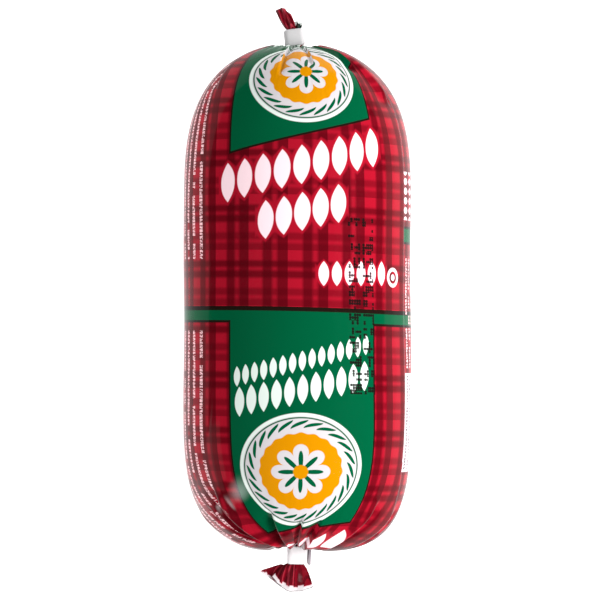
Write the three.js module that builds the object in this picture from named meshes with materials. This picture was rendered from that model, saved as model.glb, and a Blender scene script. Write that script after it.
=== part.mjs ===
// A whole cured sausage in a printed film, closed at each end by a bent metal strip.
// Millimetres. It lies along Y with its printed front up, on a flat strip at Z = 0,
// and the origin is the middle of that strip.

import * as THREE from 'three';

// The filled part
const bodyWidth = 54.8;
const bodyHeight = 52;
const bodyLength = 122.5;
const restWidth = 13; // the soft filling settles flat over this width

// The gathered film where it passes through a strip
const neckHalfWidth = 1.35;
const neckHalfHeight = 1.0;
const dimpleFloor = 3.4; // radius of the flat ground of the dimple round the neck

// The metal strip, bent round the neck
const stripThickness = 0.75;
const stripBendRadius = 0.75; // of the middle of its thickness
const stripEdge = 0.15; // rounding of its long edges
const stripOpening = 0.25; // between the free end and the leg beside it
const clearance = 0.35; // from a strip to the film before and after it

// How finely the film is faceted
const pointsRound = 80;
const domeRings = 16;
const domeGrading = 1.5; // rings lie closer together near the neck
const cylinderRings = 4;
const neckRings = 2;
const tailRings = 6;

// Fine gathers that run out of the neck over the dome
const gatherCount = 16;
const gatherDepth = 0.7;
const gatherReach = 0.62; // as a share of the body's radius
const gatherSlope = 0.09; // most depth for each millimetre of radius

// Each end has its dome, its dimple round the neck, its large folds, its strip and its tail.
// The side bulge moves a dome's shoulder to the right of the neck.
// Angles round the axis are in degrees, 0 to the right and 90 at the front.
// Lean and tail directions are measured from the axis, positive to the right.
const topEnd = {
  side: 1,
  domeLength: 43.4,
  axialPower: 3.5,
  radialPower: 1.95,
  dimpleDepth: 0.95,
  dimpleRadius: 6.5,
  neckOffset: -0.45,
  sideBulge: 0.1,
  lean: -6.5,
  gatherPhase: 0.4,
  folds: [
    { angle: 29, turn: -6, depth: 1.5, width: 2.6, reach: 0.86 },
    { angle: 104, turn: 8, depth: 0.7, width: 2.2, reach: 0.72 },
    { angle: 168, turn: -5, depth: 0.9, width: 2.8, reach: 0.7 },
    { angle: 232, turn: 6, depth: 1.2, width: 3.0, reach: 0.8 },
    { angle: 305, turn: -8, depth: 1.1, width: 2.8, reach: 0.78 },
  ],
  clipHalfWidth: 2.45,
  clipHalfHeight: 2.1,
  clipLength: 4.0,
  tail: {
    direction: -24,
    spread: 2,
    puff: 0.75,
    length: 5.3,
    lengthSlant: -0.5,
    tipRound: 1.1,
    halfThickness: 1.5,
    pleats: 7,
    pleatDepth: 0.28,
    ragged: 0.35,
  },
};

const bottomEnd = {
  side: -1,
  domeLength: 37.4,
  axialPower: 3.5,
  radialPower: 3.0,
  dimpleDepth: 1.75,
  dimpleRadius: 8.5,
  neckOffset: 0.05,
  sideBulge: 1.1,
  lean: -3,
  gatherPhase: 1.9,
  folds: [
    { angle: 136, turn: -20, depth: 2.0, width: 3.0, reach: 0.98 },
    { angle: 88, turn: 4, depth: 0.8, width: 2.4, reach: 0.85 },
    { angle: 45, turn: 3, depth: 1.0, width: 2.6, reach: 0.88 },
    { angle: 4, turn: -7, depth: 0.9, width: 2.6, reach: 0.76 },
    { angle: 212, turn: 8, depth: 1.3, width: 3.0, reach: 0.84 },
    { angle: 292, turn: -6, depth: 1.1, width: 2.8, reach: 0.78 },
  ],
  clipHalfWidth: 2.45,
  clipHalfHeight: 2.15,
  clipLength: 4.4,
  tail: {
    direction: -24,
    spread: 53,
    puff: 0,
    length: 6.9,
    lengthSlant: -1.1,
    tipRound: 0.2,
    halfThickness: 1.3,
    pleats: 9,
    pleatDepth: 0.32,
    ragged: 0.3,
  },
};

// The body's section is an ellipse that the rest plane cuts off over the width of the strip.
const halfWidth = bodyWidth / 2;
const centreShare = Math.sqrt(1 - (restWidth / bodyWidth) ** 2);
const halfHeight = bodyHeight / (1 + centreShare);
const axisHeight = bodyHeight - halfHeight;

const radians = THREE.MathUtils.degToRad;
const smooth = THREE.MathUtils.smoothstep;

// Angles of the points of a ring. None lies at the sides, so a ring folds flat in pairs.
function ringAngles() {
  const angles = [];
  for (let i = 0; i < pointsRound; i += 1) {
    angles.push((2 * Math.PI * (i + 0.5)) / pointsRound);
  }
  return angles;
}

// A dome's outline from the neck to the cylinder: share of the full radius and
// distance from the body's outermost plane.
function domeOutline(end, t) {
  const phi = (Math.PI / 2) * (1 - t);
  const share = Math.cos(phi) ** (2 / end.radialPower);
  const radius = neckHalfWidth + (halfWidth - neckHalfWidth) * share;
  const inDimple = 1 - smooth(radius, dimpleFloor, end.dimpleRadius);
  const depth = end.domeLength * (1 - Math.sin(phi) ** (2 / end.axialPower));
  return { share, radius, depth: depth + end.dimpleDepth * inDimple };
}

// Stations along that outline, spaced by its length and closer together near the neck,
// each with the outward normal in the plane of the axis.
function domeStations(end) {
  const fine = 800;
  const samples = [];
  let travelled = 0;
  for (let i = 0; i <= fine; i += 1) {
    const here = domeOutline(end, i / fine);
    const before = samples[i - 1];
    if (before) {
      travelled += Math.hypot(here.radius - before.radius, here.depth - before.depth);
    }
    samples.push({ ...here, travelled });
  }
  const stations = [];
  for (let ring = 0; ring <= domeRings; ring += 1) {
    const target = travelled * (ring / domeRings) ** domeGrading;
    let index = samples.findIndex((sample) => sample.travelled >= target);
    index = THREE.MathUtils.clamp(index, 1, fine - 1);
    const across = samples[index + 1].radius - samples[index - 1].radius;
    const inward = samples[index + 1].depth - samples[index - 1].depth;
    const step = Math.hypot(across, inward);
    stations.push({ ...samples[index], normalOut: inward / step, normalAlong: across / step });
  }
  return stations;
}

// How far the film is drawn in at an angle round the dome, by gathers and large folds.
function drawnIn(end, station, angle) {
  const near = 1 - smooth(station.share, 0.1, gatherReach);
  const uneven = 0.65 + 0.35 * Math.sin(3 * angle + end.gatherPhase);
  const wander = 0.5 * Math.sin(2 * angle + 3 * end.gatherPhase);
  const valley = 1 - Math.abs(Math.sin((gatherCount / 2) * angle + wander + end.gatherPhase));
  let depth = gatherDepth * near * uneven * valley;
  for (const fold of end.folds) {
    const centre = radians(fold.angle + fold.turn * (1 - station.share));
    const turned = Math.atan2(Math.sin(angle - centre), Math.cos(angle - centre));
    const away = (turned * station.radius) / fold.width;
    const fade = 1 - smooth(station.share, 0.55 * fold.reach, fold.reach);
    depth += fold.depth * fade * Math.exp(-away * away);
  }
  return Math.min(depth, gatherSlope * station.radius);
}

function domeRing(end, station) {
  const bulge = 4 * end.sideBulge * station.share * (1 - station.share);
  const centreX = end.neckOffset * (1 - station.share) + bulge;
  const heightShare = station.radius / halfWidth;
  const height = neckHalfHeight + (halfHeight - neckHalfHeight) * station.share;
  return ringAngles().map((angle) => {
    const inward = drawnIn(end, station, angle);
    const out = 1 - (inward * station.normalOut) / (halfWidth * heightShare);
    const x = centreX + station.radius * out * Math.cos(angle);
    const z = axisHeight + height * out * Math.sin(angle);
    const y = bodyLength / 2 - station.depth - inward * station.normalAlong;
    return new THREE.Vector3(x, end.side * y, Math.max(z, 0));
  });
}

function cylinderRing(y) {
  return ringAngles().map((angle) => {
    const x = halfWidth * Math.cos(angle);
    const z = axisHeight + halfHeight * Math.sin(angle);
    return new THREE.Vector3(x, y, Math.max(z, 0));
  });
}

// A point given in an end's own directions: across, outwards along the leaning neck, and up.
function endPoint(end, across, outward, up) {
  const lean = radians(end.lean);
  const start = bodyLength / 2 - end.dimpleDepth;
  const x = end.neckOffset + across * Math.cos(lean) + outward * Math.sin(lean);
  const y = start + outward * Math.cos(lean) - across * Math.sin(lean);
  return new THREE.Vector3(x, end.side * y, axisHeight + up);
}

function neckRing(end, outward) {
  return ringAngles().map((angle) => {
    const across = neckHalfWidth * Math.cos(angle);
    return endPoint(end, across, outward, neckHalfHeight * Math.sin(angle));
  });
}

const neckLength = (end) => end.clipLength + 2 * clearance;

// The free film past the strip opens like a fan, pleated and cut off unevenly.
function tailRing(end, share) {
  const { tail } = end;
  return ringAngles().map((angle) => {
    const side = Math.cos(angle);
    const front = Math.sin(angle);
    const heading = radians(tail.direction + tail.spread * side);
    const ragged = tail.ragged * Math.sin(5 * angle) * Math.sin(3 * angle + 1);
    const slant = tail.lengthSlant * side - tail.tipRound * side ** 2;
    const reach = share * (tail.length + slant + ragged);
    const pleat = tail.pleatDepth * share * Math.cos(tail.pleats * angle) * Math.abs(front);
    const thickness = neckHalfHeight + (tail.halfThickness - neckHalfHeight) * share;
    const base = neckHalfWidth + tail.puff * smooth(share, 0, 0.3);
    const across = base * side + reach * Math.sin(heading);
    const outward = neckLength(end) + reach * Math.cos(heading);
    return endPoint(end, across, outward, thickness * front + pleat);
  });
}

// All rings of one end, from the tip of the tail to the edge of the cylinder
function endRings(end) {
  const rings = [];
  for (let i = tailRings; i > 0; i -= 1) {
    rings.push(tailRing(end, i / tailRings));
  }
  for (let i = neckRings; i > 0; i -= 1) {
    rings.push(neckRing(end, (neckLength(end) * i) / neckRings));
  }
  for (const station of domeStations(end)) {
    rings.push(domeRing(end, station));
  }
  return rings;
}

function casingRings() {
  const fromY = -bodyLength / 2 + bottomEnd.domeLength;
  const toY = bodyLength / 2 - topEnd.domeLength;
  const middle = [];
  for (let i = 1; i <= cylinderRings; i += 1) {
    middle.push(cylinderRing(fromY + ((toY - fromY) * i) / (cylinderRings + 1)));
  }
  return [...endRings(bottomEnd), ...middle, ...endRings(topEnd).reverse()];
}

// A closed surface through rings of equal point count, each end folded shut in pairs
function loft(rings) {
  const positions = rings.flat().flatMap((point) => point.toArray());
  const indices = [];
  const addQuad = (a, b, c, d) => indices.push(a, b, c, a, c, d);
  for (let ring = 0; ring + 1 < rings.length; ring += 1) {
    for (let i = 0; i < pointsRound; i += 1) {
      const next = (i + 1) % pointsRound;
      const row = ring * pointsRound;
      const following = row + pointsRound;
      addQuad(row + i, following + i, following + next, row + next);
    }
  }
  const last = (rings.length - 1) * pointsRound;
  for (let i = 0; i + 1 < pointsRound / 2; i += 1) {
    const across = pointsRound - 1 - i;
    addQuad(i, i + 1, across - 1, across);
    addQuad(last + i, last + across, last + across - 1, last + i + 1);
  }
  const geometry = new THREE.BufferGeometry();
  geometry.setAttribute('position', new THREE.Float32BufferAttribute(positions, 3));
  geometry.setIndex(indices);
  geometry.computeVertexNormals();
  return geometry;
}

// A path through corners, each rounded by an arc of the strip's bend radius
function bentPath(corners) {
  const arcSteps = 6;
  const path = [corners[0]];
  for (let i = 1; i + 1 < corners.length; i += 1) {
    const into = corners[i].clone().sub(corners[i - 1]).normalize();
    const away = corners[i + 1].clone().sub(corners[i]).normalize();
    const start = corners[i].clone().addScaledVector(into, -stripBendRadius);
    const centre = start.clone().addScaledVector(away, stripBendRadius);
    for (let step = 0; step <= arcSteps; step += 1) {
      const turn = ((Math.PI / 2) * step) / arcSteps;
      const point = centre.clone();
      point.addScaledVector(away, -stripBendRadius * Math.cos(turn));
      point.addScaledVector(into, stripBendRadius * Math.sin(turn));
      path.push(point);
    }
  }
  path.push(corners[corners.length - 1]);
  return path;
}

// The outline of a strip of even thickness along a path
function stripShape(path) {
  const outer = [];
  const inner = [];
  path.forEach((point, i) => {
    const before = path[Math.max(i - 1, 0)];
    const after = path[Math.min(i + 1, path.length - 1)];
    const along = after.clone().sub(before).normalize();
    const across = new THREE.Vector2(-along.y, along.x).multiplyScalar(stripThickness / 2);
    outer.push(point.clone().add(across));
    inner.unshift(point.clone().sub(across));
  });
  return new THREE.Shape([...outer, ...inner]);
}

function stripGeometry(path, length) {
  const geometry = new THREE.ExtrudeGeometry(stripShape(path), {
    depth: length - 2 * stripEdge,
    bevelEnabled: true,
    bevelThickness: stripEdge,
    bevelSize: stripEdge,
    bevelOffset: -stripEdge,
    bevelSegments: 2,
  });
  geometry.translate(0, 0, stripEdge - length / 2);
  geometry.rotateX(Math.PI / 2);
  return geometry;
}

// The top strip closes behind the neck, where its two ends meet.
function topStripPath(end) {
  const w = end.clipHalfWidth - stripThickness / 2;
  const h = end.clipHalfHeight - stripThickness / 2;
  const meet = stripOpening / 2;
  return bentPath([
    new THREE.Vector2(meet, -h),
    new THREE.Vector2(w, -h),
    new THREE.Vector2(w, h),
    new THREE.Vector2(-w, h),
    new THREE.Vector2(-w, -h),
    new THREE.Vector2(-meet, -h),
  ]);
}

// The bottom strip ends in a leg that stands up beside the free end of its front.
function bottomStripPath(end) {
  const w = end.clipHalfWidth - stripThickness / 2;
  const h = end.clipHalfHeight - stripThickness / 2;
  const legX = end.clipHalfWidth + stripOpening + stripThickness / 2;
  return bentPath([
    new THREE.Vector2(end.clipHalfWidth, h),
    new THREE.Vector2(-w, h),
    new THREE.Vector2(-w, -h),
    new THREE.Vector2(legX, -h),
    new THREE.Vector2(legX, h),
  ]);
}

function filmMaterial() {
  return new THREE.MeshStandardMaterial({ color: 0xb01a2c, roughness: 0.18, metalness: 0 });
}

function stripMaterial() {
  return new THREE.MeshStandardMaterial({ color: 0xe4e2e4, roughness: 0.45, metalness: 0.6 });
}

function casing() {
  const mesh = new THREE.Mesh(loft(casingRings()), filmMaterial());
  mesh.name = 'casing';
  return mesh;
}

function clip(end, name, path) {
  const mesh = new THREE.Mesh(stripGeometry(path, end.clipLength), stripMaterial());
  mesh.name = name;
  mesh.position.copy(endPoint(end, 0, clearance + end.clipLength / 2, 0));
  mesh.rotation.z = -end.side * radians(end.lean);
  return mesh;
}

const sausage = new THREE.Group();
sausage.add(casing());
sausage.add(clip(topEnd, 'clip_top', topStripPath(topEnd)));
sausage.add(clip(bottomEnd, 'clip_bottom', bottomStripPath(bottomEnd)));

export default sausage;
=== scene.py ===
# A short thick cured sausage in printed film, lying on its back with the printed side up.
# Shapes are worked out in millimetres and written to the meshes in metres.
import math
from functools import partialmethod
import bpy
import numpy as np
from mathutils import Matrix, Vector


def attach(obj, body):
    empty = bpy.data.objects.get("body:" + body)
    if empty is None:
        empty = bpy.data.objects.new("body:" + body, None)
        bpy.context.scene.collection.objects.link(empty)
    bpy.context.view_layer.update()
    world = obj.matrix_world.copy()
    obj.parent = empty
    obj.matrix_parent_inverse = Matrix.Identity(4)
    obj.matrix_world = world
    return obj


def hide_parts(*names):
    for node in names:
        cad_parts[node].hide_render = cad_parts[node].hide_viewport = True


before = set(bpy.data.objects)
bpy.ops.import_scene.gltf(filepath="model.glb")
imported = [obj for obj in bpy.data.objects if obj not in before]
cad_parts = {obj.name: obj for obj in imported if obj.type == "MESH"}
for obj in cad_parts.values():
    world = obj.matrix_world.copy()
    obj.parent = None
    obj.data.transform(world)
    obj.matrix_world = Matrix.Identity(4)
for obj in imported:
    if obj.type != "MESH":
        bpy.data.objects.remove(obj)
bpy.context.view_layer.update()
mm = 0.001
print("frame loaded")


# Small helpers

def smooth(value, low, high):
    t = np.clip((value - low) / (high - low), 0.0, 1.0)
    return t * t * (3.0 - 2.0 * t)


def setAll(item, settings):
    for label, value in settings.items():
        setattr(item, label, value)


def nothingSelected():
    bpy.ops.object.select_all(action="DESELECT")


def newPlane(name, width, height, place, turn=(0.0, 0.0, 0.0), placed=True):
    # placed: its place goes into the mesh, as its size does
    nothingSelected()
    bpy.ops.mesh.primitive_plane_add(size=1.0, location=place, rotation=turn)
    plane = bpy.context.object
    plane.name = name
    plane.data.name = name
    plane.scale = (width, height, 1.0)
    bpy.ops.object.transform_apply(location=placed, rotation=placed, scale=True)
    return plane


def objectMode():
    bpy.ops.object.mode_set(mode="OBJECT")


def editAll():
    bpy.ops.object.mode_set(mode="EDIT")
    bpy.ops.mesh.select_mode(type="VERT")
    bpy.ops.mesh.select_all(action="SELECT")


def spunTube(name, profile, columns, firstAngle=0.0):
    # one vertex is drawn out along the profile, then spun once round the long axis
    radius, along = profile[0]
    axisHeight = body["axisHeight"]
    tube = newPlane(name, mm, mm, (radius * mm, along * mm, axisHeight * mm))
    editAll()
    bpy.ops.mesh.merge(type="CENTER")
    for (r0, y0), (r1, y1) in zip(profile, profile[1:]):
        bpy.ops.mesh.extrude_vertices_move(
            TRANSFORM_OT_translate={"value": ((r1 - r0) * mm, (y1 - y0) * mm, 0.0)}
        )
    objectMode()
    data = tube.data
    station = data.attributes.new("station", "INT", "POINT")
    station.data.foreach_set("value", np.arange(len(profile), dtype=np.int32))
    editAll()
    centre = (0.0, 0.0, axisHeight * mm)
    bpy.ops.mesh.spin(steps=columns, angle=2.0 * math.pi, center=centre, axis=(0.0, 1.0, 0.0))
    editAll()
    bpy.ops.mesh.remove_doubles(threshold=1e-7)
    bpy.ops.mesh.normals_make_consistent(inside=False)
    objectMode()

    # the profile point and the column of each vertex, and the vertex of each face corner
    place = readAll(data.vertices, "co", float, 3).reshape(-1, 3) / mm
    station = readAll(data.attributes["station"].data, "value")
    data.attributes.remove(data.attributes["station"])
    angle = np.degrees(np.arctan2(place[:, 2] - axisHeight, place[:, 0])) - firstAngle
    column = np.rint(angle / (360.0 / columns)).astype(int) % columns
    return tube, station, column, readAll(data.loops, "vertex_index")


def readAll(rows, label, kind=np.int32, width=1):
    values = np.empty(len(rows) * width, dtype=kind)
    rows.foreach_get(label, values)
    return values


def cornerColumns(faces, vertexOf, station, column, columns):
    # the column of each face corner, counted on past the last one where a face closes the ring
    starts = readAll(faces, "loop_start")
    totals = readAll(faces, "loop_total")
    col = column[vertexOf].astype(float)
    pole = np.isin(station[vertexOf], [0, station.max()])
    lowest = np.minimum.reduceat(np.where(pole, 1e9, col), starts)
    highest = np.maximum.reduceat(np.where(pole, -1e9, col), starts)
    wraps = (highest - lowest) > 1.5
    base = np.repeat(np.where(wraps, columns - 1, lowest), totals)
    col = np.where(np.repeat(wraps, totals) & (col < 0.5), columns, col)
    return np.where(pole, base + 0.5, col), base


def placeVertices(piece, points):
    piece.data.vertices.foreach_set("co", (points * mm).ravel())
    piece.data.update()


def writeFilm(piece, u, v):
    layer = piece.data.uv_layers.new(name="film")
    layer.data.foreach_set("uv", np.column_stack([u, v]).ravel())
    for other in [one for one in piece.data.uv_layers if one.name != "film"]:
        piece.data.uv_layers.remove(other)


def finishPiece(piece, slotName, *nodes, smoothing=None):
    nothingSelected()
    piece.select_set(True)
    bpy.context.view_layer.objects.active = piece
    editAll()
    bpy.ops.mesh.normals_make_consistent(inside=False)
    objectMode()
    if smoothing is None:
        bpy.ops.object.shade_smooth()
    else:
        bpy.ops.object.shade_smooth_by_angle(angle=math.radians(smoothing))
    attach(piece, "root")
    if nodes:
        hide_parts(*nodes)
    print(piece.name, len(piece.data.polygons), "faces")
    return piece


# The filled part and its two ends

body = {
    "halfWidth": 27.4, "halfHeight": 26.38, "halfLength": 61.25, "axisHeight": 25.62,
    "neckHalfWidth": 1.35, "neckHalfHeight": 1.0, "neckFill": 0.36, "dimpleFloor": 3.4,
    "columns": 320, "domeStations": 118, "domeGrading": 1.3, "middleStations": 30,
    "seamAngle": 22.5,       # edge of the lap, 0 is right and 90 is up
    "seamStep": 0.16, "seamWidth": 3.0,
    "turnLimit": 0.6,        # a fold turns no more once this share of the girth is gone
    "foldSpace": 2.6,        # least angle between two folds
    "girthRadius": 27.2,     # radius that turns an angle into millimetres of film
}

# each fold: angle and turn in degrees, lip, valley and valley width in mm, reach, high side
topEnd = {
    "side": 1, "domeLength": 43.4, "axialPower": 3.5, "radialPower": 1.95,
    "dimpleDepth": 0.95, "dimpleRadius": 6.5, "neckOffset": -0.45, "sideBulge": 0.1, "lean": -6.5,
    "gatherCount": 22, "gatherDepth": 0.42, "gatherReach": 0.5, "gatherPhase": 0.4,
    "notch": 0.3,            # how far the front gives way at the strip
    "folds": [
        (22, 40, 0.9, 2.0, 0.95, 0.90, 1),
        (44, -2, 0.1, 1.2, 1.6, 0.72, -1),
        (80, -8, 0.08, 0.8, 1.2, 0.66, -1),
        (104, -2, 0.08, 1.1, 1.3, 0.75, 1),
        (140, 50, 0.2, 0.6, 2.2, 0.82, -1),
        (192, -5, 0.2, 0.9, 2.4, 0.75, -1),
        (240, 6, 0.25, 1.1, 2.6, 0.8, 1),
        (305, -8, 0.25, 1.1, 2.4, 0.8, -1),
    ],
}
bottomEnd = {
    "side": -1, "domeLength": 37.4, "axialPower": 3.5, "radialPower": 3.0,
    "dimpleDepth": 1.75, "dimpleRadius": 8.5, "neckOffset": 0.05, "sideBulge": 1.1, "lean": -3.0,
    "gatherCount": 20, "gatherDepth": 0.5, "gatherReach": 0.42, "gatherPhase": 1.9,
    "notch": 1.9,
    "folds": [
        (6, 57, 0.25, 0.7, 2.0, 0.95, 1),
        (12.7, 68, 0.15, 0.7, 1.8, 0.91, 1),
        (34.4, 83, 0.55, 2.0, 2.4, 0.93, 1),
        (71.2, 40, 0.3, 1.8, 1.6, 0.87, -1),
        (84.6, 23.5, 0.3, 1.8, 1.6, 0.88, -1),
        (107.2, -14, 0.4, 2.4, 2.0, 0.905, -1),
        (145, -100, 1.1, 3.8, 3.0, 0.965, -1),
        (164, -125, 0.5, 1.8, 1.8, 0.91, -1),
        (190, -130, 0.3, 0.9, 2.2, 0.9, -1),
        (222, 8, 0.3, 1.1, 2.6, 0.86, 1),
        (262, 4, 0.25, 1.0, 2.4, 0.8, 1),
        (300, -6, 0.25, 1.1, 2.6, 0.86, -1),
    ],
}


def domeStations(end):
    # rows of share, radius, depth below the pole, normal outward, normal along, arc from the neck
    phi = 0.5 * math.pi * (1.0 - np.linspace(0.0, 1.0, 2401))
    share = np.cos(phi) ** (2.0 / end["radialPower"])
    radius = body["neckHalfWidth"] + (body["halfWidth"] - body["neckHalfWidth"]) * share
    dimple = 1.0 - smooth(radius, body["dimpleFloor"], end["dimpleRadius"])
    depth = end["domeLength"] * (1.0 - np.sin(phi) ** (2.0 / end["axialPower"]))
    depth += end["dimpleDepth"] * dimple
    arc = np.concatenate([[0.0], np.cumsum(np.hypot(np.diff(radius), np.diff(depth)))])
    count = body["domeStations"]
    wanted = arc[-1] * (np.arange(count + 1) / count) ** body["domeGrading"]
    rows = [np.interp(wanted, arc, each) for each in (share, radius, depth)]
    slopeR, slopeD = np.gradient(rows[1], wanted), np.gradient(rows[2], wanted)
    size = np.hypot(slopeR, slopeD)
    return np.column_stack(rows + [slopeD / size, slopeR / size, wanted])


def foldAngles(end, share):
    # the angle of each fold line where that share of the girth is left, kept in order round the end
    columns, seam, limit = body["columns"], body["seamAngle"], body["turnLimit"]
    step = 360.0 / columns
    turn = limit * np.tanh((1.0 - share) / limit)
    order = sorted((round((fold[0] - seam) / step) % columns, fold) for fold in end["folds"])
    marks = [mark for mark, fold in order]
    now = [seam + mark * step + fold[1] * turn for mark, fold in order]
    for k in range(1, len(now)):
        now[k] = np.maximum(now[k], now[k - 1] + body["foldSpace"])
    marks.append(marks[0] + columns)
    now.append(now[0] + 360.0)
    return np.array(marks, dtype=float), np.array(now), [fold for mark, fold in order]


def filmAngle(end, column, share, owner=None):
    # angle and film position of a column, owner being the column whose panel it belongs to
    columns, girth, seam = body["columns"], body["girthRadius"], body["seamAngle"]
    step = 360.0 / columns
    marks, now, folds = foldAngles(end, share)
    owner = column if owner is None else owner
    before = owner < marks[0]
    shifted = np.where(before, column + columns, column)
    panel = np.searchsorted(marks, np.where(before, owner + columns, owner), side="right") - 1
    panel = np.clip(panel, 0, len(folds) - 1)
    each = np.arange(len(column))
    low, high = marks[panel], marks[panel + 1]
    lowNow, highNow = now[panel, each], now[panel + 1, each]
    part = (shifted - low) / (high - low)
    angle = lowNow + (highNow - lowNow) * part
    radius = body["neckHalfWidth"] + (girth - body["neckHalfWidth"]) * share
    middle = np.radians(seam + 0.5 * (low + high) * step)
    laid = girth * middle + radius * np.radians(angle - 0.5 * (lowNow + highNow))
    plain = girth * np.radians(seam + shifted * step)
    reaches = np.array([fold[5] for fold in folds] + [folds[0][5]])
    hide = [1.0 - smooth(share, reaches[p] - 0.17, reaches[p]) for p in (panel, panel + 1)]
    hidden = hide[0] + (hide[1] - hide[0]) * part
    position = plain + hidden * (laid - plain) - np.where(before, 2.0 * math.pi * girth, 0.0)
    return angle, girth * math.pi / 2.0 - position


def drawnIn(end, angle, share, radius):
    # how far the film lies inside the plain outline
    around = np.radians(angle)
    phase = end["gatherPhase"]
    near = 1.0 - smooth(share, 0.1, end["gatherReach"])
    count = end["gatherCount"] / 2.0
    pleat = 1.0 - np.abs(np.sin(count * around + 0.6 * np.sin(2 * around + 3 * phase) + phase))
    uneven = 0.65 + 0.35 * np.sin(3 * around + phase)
    inward = end["gatherDepth"] * near * uneven * pleat
    fine = 1.0 - np.abs(np.sin(19.0 * around + 1.4 * np.sin(3 * around + phase)))
    inward += 0.16 * (1.0 - smooth(share, 0.15, 0.75)) * fine * (0.5 + 0.5 * np.sin(5 * around))
    _, nows, folds = foldAngles(end, share)
    rise = np.zeros_like(inward)
    fall = np.zeros_like(inward)
    for now, fold in zip(nows, folds):
        lip, valley, width, reach, highSide = fold[2:]
        away = (angle - now + 180.0) % 360.0 - 180.0
        across = np.radians(away) * radius * highSide
        fade = 1.0 - smooth(share, reach - 0.08, reach)
        high = across > -1e-6
        lipHere = np.where(high, lip * np.exp(-(across / 2.0) ** 2), 0.0)
        valleyHere = np.where(high, 0.0, valley * np.exp(-np.abs(across / width) ** 1.25))
        rise = np.maximum(rise, lipHere * fade)
        fall = np.maximum(fall, valleyHere * fade)
    inward += fall * smooth(share, 0.05, 0.25) - rise * smooth(share, 0.25, 0.65)
    # the front of each end gives way, so that the strip shows down to its root
    notch = end["notch"] * np.exp(-((angle - 90.0) / 42.0) ** 2) * (1.0 - smooth(share, 0.2, 0.55))
    return np.minimum(inward, 0.16 * radius) + notch * smooth(radius, 1.4, 4.0)


def endPoint(end, across, outward, up):
    lean = math.radians(end["lean"])
    x = end["neckOffset"] + across * math.cos(lean) + outward * math.sin(lean)
    y = outward * math.cos(lean) - across * math.sin(lean)
    y += body["halfLength"] - end["dimpleDepth"]
    return x, end["side"] * y, body["axisHeight"] + up


def squareRing(theta, width, height, power=3.0):
    c, s = np.cos(theta), np.sin(theta)
    scale = (np.abs(c) ** power + np.abs(s) ** power) ** (-1.0 / power)
    return width * scale * c, height * scale * s


# The filled film

neckSteps = [0.12, 0.3, 0.8, 2.0, 3.5, 4.4]
tipStep = 0.01


def endRows(end):
    # from the strip to the full girth: end, share, radius, depth, normal outward and along,
    # distance in the neck, place on the film
    dome = domeStations(end)
    farthest = body["halfLength"] - end["domeLength"] + dome[-1][5]
    rows = []
    for step in [neckSteps[-1] + tipStep] + neckSteps[::-1]:
        rows.append((end, 0.0, body["neckHalfWidth"], end["dimpleDepth"], 0, 0, step,
                     end["side"] * (farthest + step)))
    for share, radius, depth, out, along, arc in dome:
        rows.append((end, share, radius, depth, out, along, 0.0, end["side"] * (farthest - arc)))
    return rows


def middleRows():
    middle = body["halfLength"]
    first, last = bottomEnd["domeLength"] - middle, middle - topEnd["domeLength"]
    return [
        (topEnd if y > 0 else bottomEnd, 1.0, body["halfWidth"], middle - abs(y), 1.0, 0.0, 0.0, y)
        for y in np.linspace(first, last, body["middleStations"] + 1)[1:-1]
    ]


def sway(around, v):
    # slow waves of the filling under the film, in millimetres
    waves = 0.10 * np.sin(2 * around + 0.9) * np.sin(0.09 * v + 1.0)
    return waves + 0.07 * np.sin(3 * around + 0.13 * v) + 0.04 * np.sin(7 * around + 0.21 * v)


def buildFilmBody():
    columns, middle = body["columns"], body["halfLength"]
    rows = endRows(bottomEnd) + middleRows() + endRows(topEnd)[::-1]
    profile = [(row[2], row[0]["side"] * (middle - row[3] + row[6])) for row in rows]
    for pole in (0, -1):
        profile[pole] = (0.0, profile[pole][1])
    tube, station, column, vertexOf = spunTube("film_body", profile, columns, body["seamAngle"])

    share, radius, depth, out, along, neck, v = (
        np.array([row[k] for row in rows], dtype=float)[station] for k in range(1, 8)
    )
    isTop = np.array([row[0] is topEnd for row in rows])[station]
    points = np.zeros((len(station), 3))
    for end in (bottomEnd, topEnd):
        mine = isTop == (end is topEnd)
        angle, _ = filmAngle(end, column[mine].astype(float), share[mine])
        s, r = share[mine], radius[mine]
        inward = drawnIn(end, angle, s, r)
        around = np.radians(angle)
        toSeam = np.radians((angle - body["seamAngle"] + 180) % 360 - 180) * r
        lap = np.where(toSeam > -1e-6, np.exp(-(toSeam / body["seamWidth"]) ** 2), 0.0)
        inward -= body["seamStep"] * lap * smooth(s, 0.1, 0.4)
        inward += sway(around, v[mine]) * smooth(s, 0.3, 0.9)
        centreX = end["neckOffset"] * (1 - s) + 4 * end["sideBulge"] * s * (1 - s)
        high = body["neckHalfHeight"] + (body["halfHeight"] - body["neckHalfHeight"]) * s
        x = centreX + (r - inward * out[mine]) * np.cos(around)
        z = body["axisHeight"] + (high - inward * out[mine]) * np.sin(around)
        y = end["side"] * (middle - depth[mine] - inward * along[mine])
        fill = body["neckFill"] * smooth(neck[mine], 0.0, 0.3)
        across, up = squareRing(around, body["neckHalfWidth"] + fill, body["neckHalfHeight"] + fill)
        inNeck = np.column_stack(endPoint(end, across, neck[mine], up))
        tip = np.array(endPoint(end, 0.0, neckSteps[-1], 0.0))
        reach = neck[mine][:, None]
        inNeck = np.where(reach > neckSteps[-1], tip, inNeck)
        points[mine] = np.where(reach > 0, inNeck, np.column_stack([x, y, z]))
    points[:, 2] = np.maximum(points[:, 2], 0.0)
    placeVertices(tube, points)

    col, base = cornerColumns(tube.data.polygons, vertexOf, station, column, columns)
    u = np.zeros(len(vertexOf))
    for end in (bottomEnd, topEnd):
        mine = isTop[vertexOf] == (end is topEnd)
        _, u[mine] = filmAngle(end, col[mine], share[vertexOf][mine], base[mine])
    writeFilm(tube, u, v[vertexOf])
    return finishPiece(tube, "printed_film", "casing")


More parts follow.
